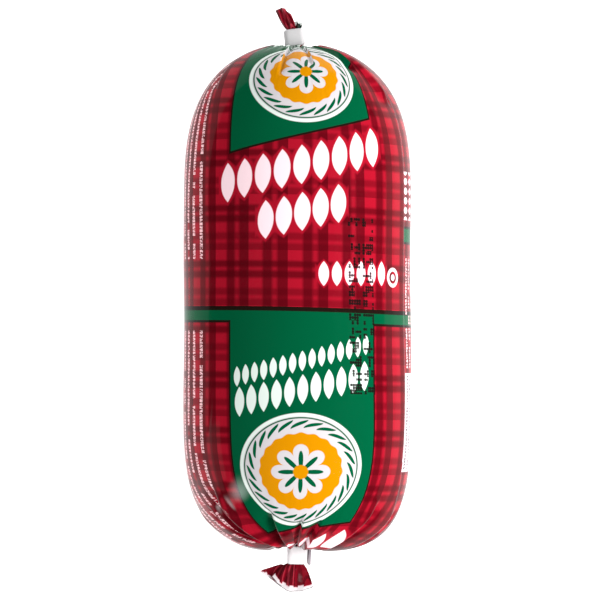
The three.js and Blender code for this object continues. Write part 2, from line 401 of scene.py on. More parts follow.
filmBody = buildFilmBody()


# The free film past the strips, in millimetres and degrees

tails = {
    "tail_top": {
        "end": topEnd, "start": 3.0, "direction": -17, "spread": 1, "length": 6.8, "slant": -0.35,
        "tipRound": 1.1, "base": 1.2, "baseHeight": 1.1, "puff": 0.35, "thin": 0.9,
        "pleats": 2.2, "pleatDepth": 0.5, "ragged": 0.4, "lift": 0.0, "columns": 200, "rows": 30,
        "shift": -0.2, "phase": 0.4, "inset": 1.2, "crumple": 0.14,
    },
    "tail_top_scrap": {
        "end": topEnd, "start": 3.4, "direction": 10, "spread": 13, "length": 2.5, "slant": 0.1,
        "tipRound": 0.3, "base": 0.6, "baseHeight": 0.5, "puff": 0.2, "thin": 0.12,
        "pleats": 1.6, "pleatDepth": 0.5, "ragged": 0.3, "lift": 0.2, "columns": 90, "rows": 20,
        "shift": 0.75, "phase": 1.0, "inset": 0.0, "crumple": 0.06,
    },
    "tail_bottom": {
        "end": bottomEnd, "start": 3.4, "direction": -10, "spread": 31, "length": 8.0, "slant": 0.4,
        "tipRound": 1.5, "base": 1.5, "baseHeight": 1.2, "puff": 0.25, "thin": 0.3,
        "pleats": 3.2, "pleatDepth": 0.5, "ragged": 0.12, "lift": 0.5, "columns": 240, "rows": 36,
        "shift": 0.1, "phase": 2.0, "inset": -0.6, "crumple": 0.06,
    },
    "tail_bottom_back": {
        "end": bottomEnd, "start": 4.0, "direction": -48, "spread": 21, "length": 7.4,
        "slant": 0.05, "tipRound": -0.6, "base": 1.2, "baseHeight": 0.7, "puff": 0.1, "thin": 0.2,
        "pleats": 1.6, "pleatDepth": 0.25, "ragged": 0.12, "lift": -0.5, "columns": 180, "rows": 30,
        "shift": -0.1, "phase": 0.2, "inset": 0.2, "crumple": 0.08,
    },
}


def buildTail(name, tail):
    columns, rows = tail["columns"], tail["rows"]
    profile = [(0.0, 0.0)] + [(1.0, 0.1 * k) for k in range(rows + 1)] + [(0.0, 0.1 * rows)]
    tube, station, column, vertexOf = spunTube(name, profile, columns)
    theta = 2.0 * math.pi * column / columns
    share = np.clip((station - 1) / rows, 0.0, 1.0)
    inner = np.where((station == 0) | (station == rows + 2), 0.0, 1.0)
    c, s = np.cos(theta) * inner, np.sin(theta) * inner
    heading = np.radians(tail["direction"] + tail["spread"] * c) * smooth(share, 0.0, 0.35)
    teeth = np.sin(5.3 * c + tail["phase"]) + 0.6 * np.sin(13.0 * c + 2.0)
    cut = tail["slant"] * c - tail["tipRound"] * c * c + tail["ragged"] * teeth * share
    reach = share * (tail["length"] + cut)
    base = tail["base"] + tail["puff"] * smooth(share, 0.1, 0.7)
    spread = smooth(share, 0.25, 0.75)
    across = base * c + tail["shift"] * smooth(share, 0.0, 0.5) + reach * np.sin(heading)
    outward = tail["start"] + reach * np.cos(heading)
    thick = tail["baseHeight"] * (1 - spread) + tail["thin"] * spread
    wave = 2.0 / math.pi * np.arcsin(np.sin(math.pi * tail["pleats"] * c + tail["phase"]))
    pleated = smooth(share, 0.1, 0.7) * (1.0 - 0.8 * smooth(share, 0.68, 0.92))
    up = thick * s + tail["pleatDepth"] * pleated * wave * inner
    up += tail["crumple"] * share * np.sin(9.0 * c + 14.0 * share + tail["phase"]) * inner
    up += tail["lift"] * smooth(share, 0.1, 0.6)
    placeVertices(tube, np.column_stack(endPoint(tail["end"], across, outward, up)))
    fromCut = (1.0 - share) * tail["length"] * inner + tail["inset"]
    writeFilm(tube, (across + 3.0 * s)[vertexOf], fromCut[vertexOf])
    return finishPiece(tube, "printed_film", smoothing=48)


tailPieces = {name: buildTail(name, tail) for name, tail in tails.items()}


# The bent strips

# look: material, two tones mixed at random, and where the leg's painted shade starts; the upper
# strip's tones are painted shade and the lower strip's painted light, as shaded and lit copies of
# one metal
strips = {
    "strip_top": {
        "end": topEnd, "node": "clip_top", "leg": False,
        "halfWidth": 2.45, "halfHeight": 2.1, "length": 4.0,
        "corners": [(0.12, -1), (1, -1), (1, 1), (-1, 1), (-1, -1), (-0.12, -1)],
        "look": ("clipMetalPaintedShade", "paintedShadeMetalDark", "paintedShadeMetalLight", 0.0),
    },
    "strip_bottom": {
        "end": bottomEnd, "node": "clip_bottom", "leg": True,
        "halfWidth": 2.45, "halfHeight": 2.15, "length": 4.4,
        "corners": [(1, 1), (-1, 1), (-1, -1), (1, -1), (1, 1)],
        "look": ("clipMetalPaintedLight", "paintedLightMetalDark", "paintedLightMetalLight", 2.62),
    },
}
stripShape = {
    "thickness": 0.75, "bend": 0.85, "bendSteps": 8, "edge": 0.3, "gap": 0.25, "clearance": 0.35,
    "pinch": 0.12, "pinchWidth": 0.8,    # the corners are drawn in by this share, over this width
}


def bentPath(corners):
    bend, steps = stripShape["bend"], stripShape["bendSteps"]
    path = [Vector(corners[0])]
    for before, here, after in zip(corners, corners[1:], corners[2:]):
        into = (Vector(here) - Vector(before)).normalized()
        away = (Vector(after) - Vector(here)).normalized()
        centre = Vector(here) - into * bend + away * bend
        for step in range(steps + 1):
            turn = 0.5 * math.pi * step / steps
            path.append(centre - away * bend * math.cos(turn) + into * bend * math.sin(turn))
    path.append(Vector(corners[-1]))
    return path


def buildStrip(name, one):
    half = stripShape["thickness"] / 2
    w, h = one["halfWidth"] - half, one["halfHeight"] - half
    corners = [(x * w, z * h) for x, z in one["corners"]]
    if one["leg"]:
        legX = one["halfWidth"] + stripShape["gap"] + half
        corners[0] = (one["halfWidth"], h)
        corners[-2] = (legX, -h)
        corners[-1] = (legX, h)
    path = bentPath(corners)
    end = one["end"]
    outward = stripShape["clearance"] + one["length"] / 2

    def place(point):
        return Vector(endPoint(end, point.x, outward, point.y)) * mm

    # a square whose left edge lies along the neck keeps that edge alone
    lean = -end["side"] * math.radians(end["lean"])
    start = place(path[0])
    across = Vector((math.cos(lean), math.sin(lean), 0.0))
    length = one["length"] * mm
    piece = newPlane(name, length, length, start + across * length / 2, (0, 0, lean))
    editAll()
    bpy.ops.mesh.select_all(action="DESELECT")
    objectMode()
    for vertex in piece.data.vertices:
        vertex.select = (vertex.co - start).dot(across) > length / 2
    bpy.ops.object.mode_set(mode="EDIT")
    bpy.ops.mesh.delete(type="VERT")
    bpy.ops.mesh.select_all(action="SELECT")
    for point, following in zip(path, path[1:]):
        bpy.ops.mesh.extrude_region_move(
            TRANSFORM_OT_translate={"value": place(following) - place(point)}
        )
    objectMode()
    wall = {"thickness": stripShape["thickness"] * mm, "offset": 0.0, "use_even_offset": True}
    rounded = {"width": stripShape["edge"] * mm, "segments": 3, "angle_limit": math.radians(50)}
    for kind, settings in (("SOLIDIFY", wall), ("BEVEL", rounded)):
        setAll(piece.modifiers.new(kind, kind), settings)
        bpy.ops.object.modifier_apply(modifier=kind)
    # pinched as it was bent
    middle = place(Vector((0.0, 0.0)))
    along = Vector((-across.y, across.x, 0.0))
    for vertex in piece.data.vertices:
        away = vertex.co - middle
        reach = abs(away.dot(across)) / mm
        if reach < one["halfWidth"] + 0.1:
            pinch = smooth(reach, one["halfWidth"] - stripShape["pinchWidth"], one["halfWidth"])
            vertex.co -= along * away.dot(along) * stripShape["pinch"] * pinch
    return finishPiece(piece, "clip_metal", one["node"], smoothing=35)


stripPieces = {name: buildStrip(name, one) for name, one in strips.items()}


# Materials: a value in a node tree can be added and multiplied like a number

class Wire:
    def __init__(self, socket):
        self.socket = socket
        self.tree = socket.id_data

    def then(self, operation, *others):
        return calc(operation, self, *others)

    def __rsub__(self, other):
        return calc("SUBTRACT", other, self)

    __add__ = partialmethod(then, "ADD")
    __sub__ = partialmethod(then, "SUBTRACT")
    __mul__ = partialmethod(then, "MULTIPLY")
    __truediv__ = partialmethod(then, "DIVIDE")
    __mod__ = partialmethod(then, "FLOORED_MODULO")
    __pow__ = partialmethod(then, "POWER")
    __abs__ = partialmethod(then, "ABSOLUTE")
    __gt__ = partialmethod(then, "GREATER_THAN")
    __lt__ = partialmethod(then, "LESS_THAN")


def feed(socket, value):
    if isinstance(value, Wire):
        value.tree.links.new(value.socket, socket)
    else:
        socket.default_value = value


def addNode(kind, values=(), output=0, tree=None, **settings):
    # values: by the names of the inputs, or in their order
    named = values if isinstance(values, dict) else dict(enumerate(values))
    if tree is None:
        tree = next(value.tree for value in named.values() if isinstance(value, Wire))
    node = tree.nodes.new("ShaderNode" + kind)
    setAll(node, settings)
    for label, value in named.items():
        feed(node.inputs[label], value)
    return Wire(node.outputs[output])


def calc(operation, *values, clamp=False):
    return addNode("Math", values, operation=operation, use_clamp=clamp)


def fract(value):
    return calc("FRACT", value)


def distance(x, y):
    return calc("SQRT", x * x + y * y)


def below(value, limit, soft):
    # 1 where the value is below the limit, with a soft edge
    return calc("MULTIPLY_ADD", limit - value, 1.0 / soft, 0.5, clamp=True)


def inside(value, centre, half, soft):
    return below(abs(value - centre), half, soft)


def allOf(first, *masks):
    for mask in masks:
        first = first * mask
    return first


def anyOf(first, *masks):
    for mask in masks:
        first = calc("MAXIMUM", first, mask)
    return first


def randomCell(x, y, seed):
    whole = [calc("FLOOR", value) if isinstance(value, Wire) else value for value in (x, y, seed)]
    cell = addNode("CombineXYZ", whole)
    return addNode("TexWhiteNoise", {"Vector": cell}, "Value", noise_dimensions="3D")


def blend(factor, first, second, mode="MIX"):
    values = {"Factor": factor, "A": first, "B": second}
    return addNode("Mix", values, "Result", data_type="RGBA", blend_type=mode)


def overprint(color, *layers):
    for mask, ink in layers:
        color = blend(mask, color, inks[ink])
    return color


def ramp(value, stops):
    shade = addNode("ValToRGB", [value])
    elements = shade.socket.node.color_ramp.elements
    elements.remove(elements[1])
    for k, (position, level) in enumerate(stops):
        element = elements.new(position) if k else elements[0]
        element.position = position
        element.color = (level, level, level, 1.0)
    return shade


def noiseOn(vector, detail):
    return addNode("TexNoise", {"Vector": vector, "Scale": 1.0, "Detail": detail})


def stripes(bands, period, soft):
    # stops for a ramp from (start, level) bands of one period
    stops = []
    for (start, level), (following, _) in zip(bands, bands[1:] + [(period, 0.0)]):
        stops.append(((start + soft) / period if start > 0 else 0.0, level))
        stops.append(((following - soft) / period, level))
    return stops


def newGroup(name, *labels):
    group = bpy.data.node_groups.new(name, "ShaderNodeTree")
    for label in labels:
        group.interface.new_socket(label, socket_type="NodeSocketFloat")
    entry = group.nodes.new("NodeGroupInput")
    return group, [Wire(entry.outputs[label]) for label in labels]


def closeGroup(group, **results):
    for label in results:
        kind = "NodeSocketColor" if label == "Color" else "NodeSocketFloat"
        group.interface.new_socket(label, in_out="OUTPUT", socket_type=kind)
    leave = group.nodes.new("NodeGroupOutput")
    for label, value in results.items():
        feed(leave.inputs[label], value)
    return group


def useGroup(group, **values):
    first = addNode("Group", values, node_tree=group)
    return {socket.name: Wire(socket) for socket in first.socket.node.outputs}


inks = {name: color + (1.0,) for name, color in {
    "red": (0.335, 0.0055, 0.018),
    "green": (0.0002, 0.082, 0.031),
    "line": (0.011, 0.006, 0.004),
    "title": (0.90, 0.67, 0.72),
    "panel": (0.66, 0.74, 0.69),
    "pale": (0.56, 0.53, 0.55),
    "paper": (0.66, 0.56, 0.60),
    "table": (0.03, 0.028, 0.03),
    "amber": (0.58, 0.225, 0.0005),
    "code": (0.008, 0.005, 0.005),
    "small": (0.85, 0.50, 0.53),
    # painted shade for where the lower end gathers into its strip
    "paintedGatherShade": (0.045, 0.001, 0.004),
    # the cut ends
    "doubled": (0.14, 0.0015, 0.008),
    # painted highlight and painted shade for lanes on the pleats
    "paintedPleatHighlight": (0.36, 0.03, 0.05),
    "shaded": (0.06, 0.0008, 0.004),
    "rim": (0.66, 0.36, 0.40),
    "bare": (0.66, 0.62, 0.64),
    "cut": (0.16, 0.15, 0.15),
    "scrap": (0.002, 0.016, 0.010),
    "scrapBare": (0.62, 0.65, 0.63),
    # the strips: one metal, with the upper strip's greys as painted shade and the lower strip's
    # near-whites as painted light
    "paintedShadeMetalDark": (0.50, 0.49, 0.50),
    "paintedShadeMetalLight": (0.56, 0.55, 0.56),
    "paintedLightMetalDark": (0.88, 0.85, 0.87),
    "paintedLightMetalLight": (0.94, 0.92, 0.93),
    # painted shade for the leg of the lower strip
    "leg": (0.34, 0.30, 0.33),
}.items()}

# places on the film in millimetres, from the middle of the front
layout = {
    "repeat": 96.0, "bandTop": -2.2, "slope": 0.024, "curve": 0.00068,
    "acrossPeriod": 9.48, "acrossStart": -2.2,
    "acrossBands": [(0, 0.0), (3.45, 1.0), (5.81, 0.15), (6.97, 1.0)],
    "alongPeriod": 13.07, "alongStart": 11.02,
    "alongBands": [
        (0, 0.0), (2.46, 1.0), (4.0, 0.15), (4.85, 1.0),
        (6.53, 0.0), (8.92, 0.7), (10.61, 0.1), (11.45, 0.7),
    ],
    "stripeSoft": 0.36,
    "oneBand": 0.61,             # how much one band darkens the red, and two that cross
    "twoBands": 0.36,
    "panelMiddle": 1.4, "panelHalf": 18.15, "panelDepth": 55.65, "panelSlope": -0.25,
    "panelSoft": 0.12,
    "straighter": (0.13, -2.4),  # slope and depth added to the panel of the lower end
    "darkBand": 1.95,            # half width of the band's dark ground
    "greenBand": (1.01, 3.35),
    "sealPlace": (0.9, -40.9), "sealSize": (15.65, 13.9), "upperSealShift": 1.15,
    "gathers": -62.9,            # here the lower end begins to dip towards its strip
    "mark": (26.6, 5.6), "markRing": (1.9, 0.42), "markDot": 0.75, "fineShift": 24.95,
}

# each row: middle and height, slope, half length, pitch, leaf half width and half height
leafRows = {
    "titleLong": (1.05, 31.2, 0.2265, 20.75, 4.61, 1.95, 4.6),
    "titleShort": (1.2, 20.15, 0.2176, 10.8, 4.32, 1.9, 4.5),
    "panelSmall": (1.2, -14.85, 0.2325, 17.1, 2.28, 0.85, 2.4),
    "panelLarge": (1.3, -21.5, 0.194, 17.0, 3.09, 1.25, 3.5),
    "besideMark": (14.2, 5.6, 0.0, 9.6, 3.2, 1.25, 2.9),
}

leafShape = {"wide": 1.0, "tall": 1.0, "power": 2.2, "soft": 0.10, "past": 0.0, "pastSoft": 0.1}
groundShape = {"wide": 0.62, "tall": 0.86, "power": 2.2, "soft": 0.25, "past": 0.4, "pastSoft": 0.4}

# each field: middle and half width across, middle and half height along, soft edge
sideFields = {
    "fineUpper": (-38.95, 14.0, 34.0, 25.0, 0.1),
    "fineLower": (-38.95, 14.0, -35.0, 27.0, 0.1),
    "barLine": (-128.0, 11.0, 15.9, 2.1, 0.15),
    "bar": (-128.0, 11.0, 15.9, 1.6, 0.15),
    "label": (-125.4, 12.8, -28.8, 11.8, 0.15),
    "labelTable": (-125.4, 12.3, -28.8, 11.2, 0.1),
    "tableUpper": (-130.0, 8.2, 2.5, 8.0, 0.1),
    "tableLower": (-130.0, 8.2, -11.0, 4.8, 0.1),
    "leaves": (-133.2, 6.15, 25.3, 5.75, 0.1),
}
# lengths of a word, a letter and a stroke in letter sizes, and how much of each is left out
fineShape = {
    "word": 2.6, "letter": 1.30, "stroke": 0.26, "third": 0.67, "soft": 0.12,
    "wordGap": 0.10, "letterShare": 0.80, "strokeGap": 0.26,
}
sideLeaves = {"pitch": (4.1, 2.3), "half": (1.45, 0.85)}

dotCode = {
    "dot": 0.66, "round": 0.56, "share": 0.70, "stroke": 2.5, "letter": 5.0, "strength": 0.94,
    "start": 12.1, "lanes": (13.75, 17.6), "laneHalf": 1.65, "along": (-1.55, 20.7),
    "tilt": 0.018, "tiltFrom": 19.2, "soft": 0.05,
}

# the seal in shares of its size
sealShape = {
    "soft": 0.012, "innerRing": (0.918, 0.012), "outerRing": (0.97, 0.026),
    "wreath": 0.815, "wreathHalf": 0.072, "leaves": 24.0, "leafLean": 9.0, "leafNarrow": 3.2,
    "scallops": 20.0, "disc": (0.012, 0.66), "petals": 4.0, "flower": (0.20, 0.27),
    "petal": (0.30, 0.06), "heart": 0.12,
}


def buildTartan():
    group, (u, v) = newGroup("tartanInk", "Across", "Along")
    bands = []
    fromStart = {"across": u - layout["acrossStart"], "along": layout["alongStart"] - v}
    for way, shifted in fromStart.items():
        period = layout[way + "Period"]
        stops = stripes(layout[way + "Bands"], period, layout["stripeSoft"])
        bands.append(ramp(shifted % period / period, stops))
    level = calc("MAXIMUM", *bands) * -layout["oneBand"] + 1.0
    level = level * (calc("MINIMUM", *bands) * -layout["twoBands"] + 1.0)
    shade = addNode("CombineColor", (level, level, level))
    return closeGroup(group, Color=blend(1.0, inks["red"], shade, "MULTIPLY"))


def buildLeafRow():
    # a slanting row of upright leaves, with the plain ground that surrounds them
    group, (u, v, middle, slope, halfLength, pitch, leafWidth, leafHeight) = newGroup(
        "leafRow", "Across", "Along", "Middle", "Slope", "HalfLength", "Pitch",
        "LeafWidth", "LeafHeight",
    )
    u = u - middle
    tall = abs(v - u * slope) / leafHeight
    wide = abs(fract((u + halfLength) / pitch) - 0.5) * pitch / leafWidth
    past = abs(u) - halfLength

    def field(shape):
        inLeaf = wide * shape["wide"] + (tall * shape["tall"]) ** shape["power"]
        return below(inLeaf, 1.0, shape["soft"]) * below(past, shape["past"], shape["pastSoft"])

    return closeGroup(group, Leaf=field(leafShape), Ground=field(groundShape))


def buildSeal():
    # rings, a wreath of leaves, an amber disc with a scalloped edge and a rosette
    group, place = newGroup("sealInk", "Across", "Along")
    x, y = (value / size for value, size in zip(place, layout["sealSize"]))
    reach, angle, soft = distance(x, y), calc("ARCTAN2", y, x), sealShape["soft"]

    def disc(shape, size):
        return below(reach, shape * size[0] + size[1], soft)

    # leaning leaves between the rings
    turn = reach * sealShape["leafLean"] + angle * (sealShape["leaves"] / (2 * math.pi))
    wide = abs(fract(turn) - 0.5) * sealShape["leafNarrow"]
    tall = abs(reach - sealShape["wreath"]) / sealShape["wreathHalf"]
    wave = abs(calc("COSINE", angle * sealShape["petals"]))
    color = blend(inside(reach, *sealShape["innerRing"], soft), inks["pale"], inks["green"])
    color = overprint(
        color,
        (below(wide + tall ** 2.0, 1.0, 0.14), "green"),
        (inside(reach, *sealShape["outerRing"], soft), "panel"),
        (disc(calc("COSINE", angle * sealShape["scallops"]), sealShape["disc"]), "amber"),
        (disc(calc("SQRT", wave), sealShape["flower"]), "pale"),
        (disc(wave ** 2.5, sealShape["petal"]), "green"),
        (below(reach, sealShape["heart"], soft), "amber"),
    )
    return closeGroup(group, Color=color, Mask=below(reach, 1.0, soft))


def buildSmallMarks():
    # rows of short dashes that run along the film, for fine print
    group, (across, along, pitch, size) = newGroup("fineMarks", "Across", "Along", "Pitch", "Size")
    row = across / pitch
    local = (fract(row) - 0.5) * pitch
    line = inside(local, 0.0, size, fineShape["soft"])
    word = randomCell(along / (size * fineShape["word"]), row, 3.0)
    letter = fract(along / (size * fineShape["letter"]))
    # each mark is broken into strokes, so that a line reads as print and not as a bar
    third = local / (size * fineShape["third"]) + calc("FLOOR", row) * 11.0 + 0.5
    stroke = randomCell(along / (size * fineShape["stroke"]), third, 7.0)
    return closeGroup(group, Mask=allOf(
        line, word > fineShape["wordGap"], letter < fineShape["letterShare"],
        stroke > fineShape["strokeGap"],
    ))


tartanInk = buildTartan()
leafRow = buildLeafRow()
sealInk = buildSeal()
fineMarks = buildSmallMarks()


def dottedCode(u, v):
    # two lanes of dots that form no letters
    size, soft = dotCode["dot"], dotCode["soft"]
    codeU = u - (dotCode["tiltFrom"] - v) * dotCode["tilt"]
    dotU, dotV = (codeU - dotCode["start"]) / size, v / size
    upright = randomCell(dotU, dotV / dotCode["stroke"], 5.0)
    level = randomCell(dotU / dotCode["stroke"], dotV, 6.0)
    return allOf(
        calc("MAXIMUM", upright, level) > dotCode["share"],
        calc("FLOOR", dotV) % dotCode["letter"] > 0.5,
        below(distance(fract(dotU) - 0.5, fract(dotV) - 0.5), dotCode["round"], 0.2),
        anyOf(*[inside(codeU, lane, dotCode["laneHalf"], soft) for lane in dotCode["lanes"]]),
        inside(v, *dotCode["along"], soft),
    )


def buildPrint():
    group, (u, straight) = newGroup("filmPrint", "Across", "Along")
    # the print was laid on a little askew
    side = calc("SINE", u / body["girthRadius"]) * body["halfWidth"]
    v = straight + side * (side * layout["curve"] + layout["slope"])
    lower, upper = v < 0.0, v > 0.0
    half = layout["repeat"] / 2

    def repeated(middle):
        return calc("WRAP", straight - middle, half, -half)

    color = useGroup(tartanInk, Across=u, Along=v)["Color"]
    leaves = {}
    for name, (middle, height, slope, halfLength, pitch, width, tall) in leafRows.items():
        row = useGroup(leafRow, Across=u, Along=repeated(height), Middle=middle, Slope=slope,
                       HalfLength=halfLength, Pitch=pitch, LeafWidth=width, LeafHeight=tall)
        leaves[name] = row["Leaf"]
        if "panel" not in name:
            color = overprint(color, (row["Ground"], "red"))
    # no short row in the gathers of the lower end, and the others end where these begin
    titles = anyOf(leaves["titleLong"], leaves["titleShort"] * upper, leaves["besideMark"])
    titles = titles * (straight > layout["gathers"])

    # the gathers pull the slanting edge of the lower panel almost straight
    down = (layout["bandTop"] - v) % layout["repeat"]
    slope, deeper = layout["straighter"]
    depth = u * (lower * slope + layout["panelSlope"]) + layout["panelDepth"] + lower * deeper
    aside = abs(u - layout["panelMiddle"])
    soft = layout["panelSoft"]
    ground = below(aside, layout["panelHalf"] + 0.3, soft) * below(down, depth + 0.3, soft)
    panel = below(aside, layout["panelHalf"] - 0.15, soft) * below(down, depth - 0.2, soft)
    band = layout["darkBand"]
    above, under = layout["greenBand"]
    color = overprint(
        color,
        (anyOf(ground, inside(down, band, band, soft)), "line"),
        (anyOf(panel, below(down, under, soft)) * below(above, down, soft), "green"),
    )

    # the upper seal sits a little to the right of the lower one
    sealU, sealV = layout["sealPlace"]
    seal = useGroup(sealInk, Across=u - (upper * layout["upperSealShift"] + sealU),
                    Along=repeated(sealV))
    color = blend(seal["Mask"], color, seal["Color"])

    markU, markV = layout["mark"]
    fromMark = distance(u - markU, v - markV)
    ring = inside(fromMark, *layout["markRing"], 0.2)
    fineU = u + layout["fineShift"]
    fine = useGroup(fineMarks, Across=fineU, Along=v, Pitch=3.5, Size=0.62)["Mask"]
    table = useGroup(fineMarks, Across=u, Along=v, Pitch=2.6, Size=0.58)["Mask"]
    # small leaves beside the table
    (pitchU, pitchV), (halfU, halfV) = sideLeaves["pitch"], sideLeaves["half"]
    leafU = abs(fract(u / pitchU) - 0.5) * (pitchU / halfU)
    leafV = abs(fract(v / pitchV) - 0.5) * (pitchV / halfV)
    field = {
        name: inside(u, atU, wide, edge) * inside(v, atV, tall, edge)
        for name, (atU, wide, atV, tall, edge) in sideFields.items()
    }
    color = overprint(
        color,
        # painted shade where the lower end gathers towards its strip
        (below(straight, layout["gathers"] - 0.9, 1.8) * 0.8, "paintedGatherShade"),
        (anyOf(titles, ring, below(fromMark, layout["markDot"], 0.2)), "title"),
        (anyOf(leaves["panelSmall"], leaves["panelLarge"]), "panel"),
        (fine * anyOf(field["fineUpper"], field["fineLower"]), "small"),
        (field["barLine"], "line"),
        (field["bar"], "green"),
        (field["label"], "paper"),
        (table * field["labelTable"], "table"),
        (table * anyOf(field["tableUpper"], field["tableLower"]), "small"),
        (below(leafV + leafU ** 2.0, 1.0, 0.15) * field["leaves"], "title"),
        (dottedCode(u, v) * dotCode["strength"], "code"),
    )
    return closeGroup(group, Color=color)


filmPrint = buildPrint()


# scale across and along the film, and detail
relief = {
    "creases": (0.75, 0.07, 2.0), "creaseStart": 38.0, "creaseGrown": 26.0,
    "lumps": (0.16, 0.07, 1.0), "lumpShare": 0.55,
    "dull": (0.09, 0.05, 3.0),
}


def buildFilmSurface():
    # fine creases that run towards the ends, and the faint unevenness of the filling
    group, (u, v, strength) = newGroup("filmSurface", "Across", "Along", "Creases")

    def noiseAt(scaleU, scaleV, detail):
        return noiseOn(addNode("CombineXYZ", (u * scaleU, v * scaleV)), detail)

    start, grown = relief["creaseStart"], relief["creaseGrown"]
    ends = calc("DIVIDE", abs(v) - start, grown, clamp=True)
    creases = noiseAt(*relief["creases"]) * ends * strength
    lumps = noiseAt(*relief["lumps"]) * relief["lumpShare"]
    return closeGroup(group, Height=creases + lumps, Dull=noiseAt(*relief["dull"]))


filmSurface = buildFilmSurface()


def newMaterial(name, settings):
    material = bpy.data.materials.new(name)
    material.use_nodes = True
    shader = material.node_tree.nodes["Principled BSDF"]
    for label, value in settings.items():
        shader.inputs[label].default_value = value
    return material, shader


def partsOf(vector):
    first = addNode("SeparateXYZ", [vector])
    return [Wire(part) for part in first.socket.node.outputs]


def filmPlace(shader):
    return partsOf(addNode("UVMap", tree=shader.id_data, uv_map="film"))[:2]


def dress(shader, color, rough, height, strength, depth):
    values = {"Strength": strength, "Distance": depth * mm, "Height": height}
    feed(shader.inputs["Base Color"], color)
    feed(shader.inputs["Roughness"], rough)
    feed(shader.inputs["Normal"], addNode("Bump", values))


def buildFilmMaterial():
    material, shader = newMaterial("printedFilm", {
        "Specular IOR Level": 0.0, "Coat Weight": 0.85, "Coat Roughness": 0.07, "Coat IOR": 1.5,
    })
    u, v = filmPlace(shader)
    surface = useGroup(filmSurface, Across=u, Along=v, Creases=1.0)
    color = useGroup(filmPrint, Across=u, Along=v)["Color"]
    rough = surface["Dull"] * 0.16 + 0.24
    dress(shader, color, rough, surface["Height"], strength=0.6, depth=0.35)
    return material


cutLook = {
    "lanes": 3.4, "laneSway": 3.0, "paintedHighlightFrom": 0.84, "shadedTo": 0.32, "doubled": 0.6,
    "jump": 0.8, "wander": 1.2, "rim": 0.62, "bare": 0.45, "cut": -0.42,    # in mm from the cut
}


def newCutFilm(name, settings, stretch):
    material, shader = newMaterial(name, settings)
    across, fromCut = filmPlace(shader)
    surface = useGroup(filmSurface, Across=across * stretch, Along=fromCut, Creases=0.0)

    def finish(color):
        rough = surface["Dull"] * 0.2 + 0.25
        dress(shader, color, rough, surface["Height"], strength=0.4, depth=0.2)
        return material

    return across, fromCut, surface["Dull"], finish


def buildTailMaterial():
    # the same red film, darker where it is doubled, with a pale unprinted margin at the cut
    across, fromCut, uneven, finish = newCutFilm("gatheredFilm", {
        "Specular IOR Level": 0.1, "Coat Weight": 0.2, "Coat Roughness": 0.1,
    }, 3.0)
    tartan = useGroup(tartanInk, Across=across * 1.6, Along=fromCut)["Color"]
    # painted highlights and painted shade in lanes along the pleats
    lane = across * cutLook["lanes"] + uneven * cutLook["laneSway"]
    chance = randomCell(lane, 0.0, 9.0)
    # the cuts of the pleats don't meet, so the margin jumps from one lane to the next
    jump = randomCell(lane * 0.3, 0.0, 4.0) * cutLook["jump"]
    edge = fromCut + uneven * cutLook["wander"] - 1.0 + jump
    return finish(overprint(
        blend(cutLook["doubled"], tartan, inks["doubled"]),
        ((chance > cutLook["paintedHighlightFrom"]) * 0.6, "paintedPleatHighlight"),
        ((chance < cutLook["shadedTo"]) * 0.7, "shaded"),
        (below(edge, cutLook["rim"], 0.12), "rim"),
        (below(edge, cutLook["bare"], 0.12), "bare"),
        (below(fromCut, cutLook["cut"], 0.05), "cut"),
    ))


def buildScrapMaterial():
    settings = {"Coat Weight": 0.8, "Coat Roughness": 0.08}
    across, fromCut, uneven, finish = newCutFilm("scrapFilm", settings, 4.0)
    bare = below(fromCut + uneven * 2.0 - 1.0, 0.55, 0.2)
    return finish(blend(bare, inks["scrap"], inks["scrapBare"]))


def buildStripMaterial(name, dark, light, paintedLegShadeFrom):
    material, shader = newMaterial(name, {"Metallic": 0.08})
    place = addNode("TexCoord", output="Object", tree=shader.id_data)
    values = {"Vector": place, "Scale": (900.0, 9000.0, 900.0)}
    drawn = noiseOn(addNode("Mapping", values), 3.0)
    color = blend(drawn, inks[dark], inks[light])
    if paintedLegShadeFrom:
        # the free leg stands on edge, and from here on it is painted darker as painted shade
        color = overprint(color, (partsOf(place)[0] > paintedLegShadeFrom * mm, "leg"))
    dress(shader, color, drawn * 0.2 + 0.34, drawn, strength=0.15, depth=0.02)
    return material


filmBody.data.materials.append(buildFilmMaterial())
gatheredFilm = buildTailMaterial()
scrapFilm = buildScrapMaterial()
for name, piece in tailPieces.items():
    piece.data.materials.append(scrapFilm if "scrap" in name else gatheredFilm)
# each strip's colour carries its own painted light or painted shade
for name, piece in stripPieces.items():
    piece.data.materials.append(buildStripMaterial(*strips[name]["look"]))
print("materials done")


# Floor, lights and camera, in metres

studio = {
    "floorSize": 3.0, "floorColor": (0.60, 0.60, 0.60, 1.0), "floorGlow": 0.90,
    "floorBounce": 2.1,          # how bright the floor is for the light it throws back on the film
    "worldStrength": 0.42,
    "cameraPlace": (0.00065, -0.0006, 0.9256), "lens": 224.0, "aim": (0.0, 0.0, 0.02),
}

# the floor as the film's gloss sees it: (x of each step, brightness), and a glow round the sausage
bounce = {
    "low": (-1.0, -1.2), "high": (0.320, 0.42), "height": 0.0001,
    "steps": [
        (-1.0, 0.0), (-0.3005, 0.0), (-0.300, 0.19), (-0.07, 0.22),
        (0.0, 0.40), (0.118, 0.38), (0.1185, 0.24), (0.320, 0.22),
    ],
    "corner": (-0.055, 0.45),    # below this y the left side is this bright all the way
    "near": 0.50, "nearReach": 0.018, "outline": (0.027, 0.061),
    "nearAbove": 0.4,            # share of that glow past the upper end
    # x, y, reach, brightness
    "patches": [(0.070, 0.085, 0.030, 0.8), (-0.060, -0.085, 0.030, 0.8)],
}

